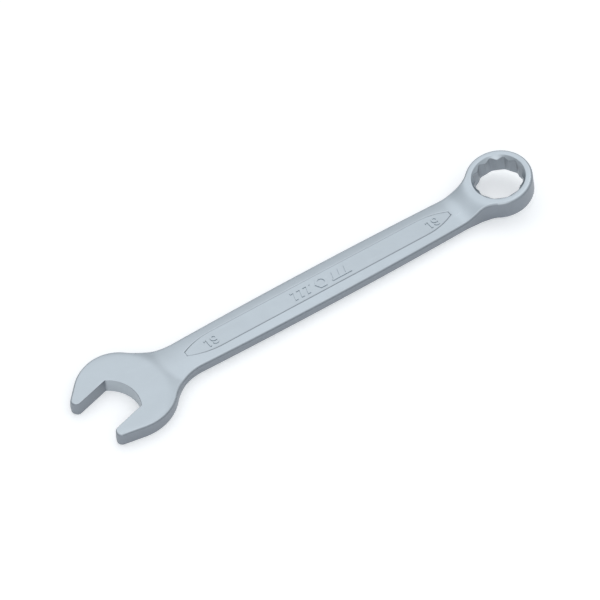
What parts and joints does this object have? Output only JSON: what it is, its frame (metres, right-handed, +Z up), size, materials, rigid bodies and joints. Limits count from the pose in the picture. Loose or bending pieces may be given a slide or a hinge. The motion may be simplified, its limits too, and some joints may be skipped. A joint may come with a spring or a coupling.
{
  "type": "combination wrench",
  "caption": "One-piece forged wrench with an angled open end, a crowned shank with sunk panels, and a tilted twelve-point ring end.",
  "frame": {"origin": "centre of the bounding box in X and Y, at the height of the flat face the wrench lies on (Z = 0)", "axes": "+X along the shank from the open end to the ring end, +Z up out of the head's upper flat face, +Y towards the upper jaw's side"},
  "size_m": [0.2232, 0.0412, 0.0157],
  "materials": {
    "satin_chrome": "satin"
  },
  "bodies": {
    "root": {"upper_jaw": "satin_chrome", "lower_jaw": "satin_chrome", "throat": "satin_chrome", "open_neck": "satin_chrome", "web": "satin_chrome", "left_rail": "satin_chrome", "right_rail": "satin_chrome", "ring_neck": "satin_chrome", "ring": "satin_chrome", "top_open_one": "satin_chrome", "top_open_nine": "satin_chrome", "top_ring_one": "satin_chrome", "top_ring_nine": "satin_chrome", "top_nut": "satin_chrome", "top_bars_open": "satin_chrome", "top_bars_ring": "satin_chrome", "base_open_one": "satin_chrome", "base_open_nine": "satin_chrome", "base_ring_one": "satin_chrome", "base_ring_nine": "satin_chrome", "base_nut": "satin_chrome", "base_bars_open": "satin_chrome", "base_bars_ring": "satin_chrome"}
  },
  "joints": []
}
